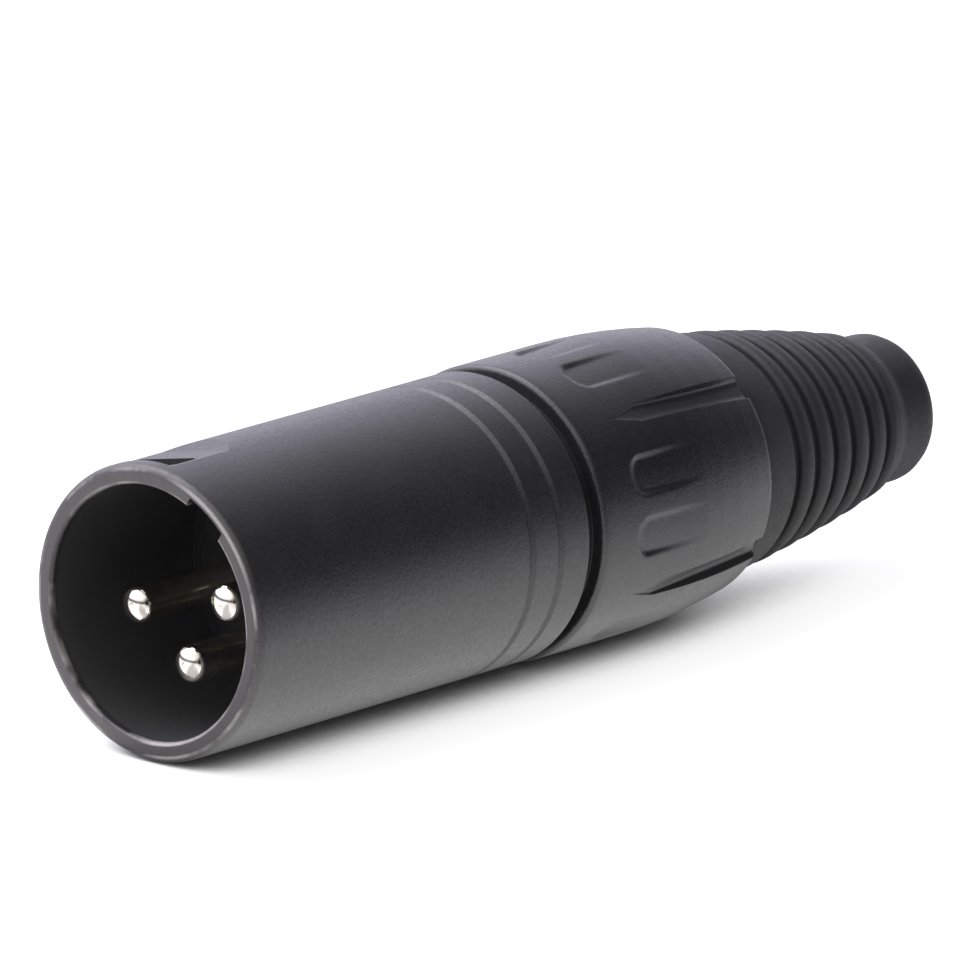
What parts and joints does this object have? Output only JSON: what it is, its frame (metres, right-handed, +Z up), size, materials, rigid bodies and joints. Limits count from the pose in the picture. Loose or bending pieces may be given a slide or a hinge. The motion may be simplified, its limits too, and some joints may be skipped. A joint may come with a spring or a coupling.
{
  "type": "xlr plug",
  "caption": "Three-pin male cable plug for balanced audio: black metal shell, fluted screw grip and ribbed strain relief.",
  "frame": {"origin": "on the floor, under the middle of the plug as it lies on its side", "axes": "+X along the plug's axis, from the mouth towards the cable; +Z up"},
  "size_m": [0.071, 0.0192, 0.0193],
  "materials": {
    "shell_lacquer": "satin black lacquer, slightly grainy",
    "pin_plating": "silver-plated brass, turned",
    "insert_plastic": "moulded, black",
    "contact_bronze": "stamped spring bronze",
    "chuck_plastic": "moulded, off-white, hidden inside",
    "grip_plastic": "moulded black, satin",
    "gland_rubber": "soft, moulded, matt black"
  },
  "bodies": {
    "front": {"shell": "shell_lacquer", "insert": "insert_plastic", "shell_contact": "contact_bronze", "pin_1": "pin_plating", "pin_2": "pin_plating", "pin_3": "pin_plating"},
    "clamp": {"chuck": "chuck_plastic"},
    "tail": {"bushing": "grip_plastic", "gland": "gland_rubber"}
  },
  "joints": [
    {"name": "chuck_slide", "type": "slide", "parent": "front", "child": "clamp", "axis": [1, 0, 0], "range_m": [0, 0.00526]},
    {"name": "bushing_turn", "type": "hinge", "parent": "clamp", "child": "tail", "pos_m": [0, 0, 0.00965], "axis": [1, 0, 0], "range_deg": [0, 1260]}
  ],
  "couplings": [
    {"joint": "chuck_slide", "follows": "bushing_turn", "m_per_rad": 0.00023873}
  ]
}
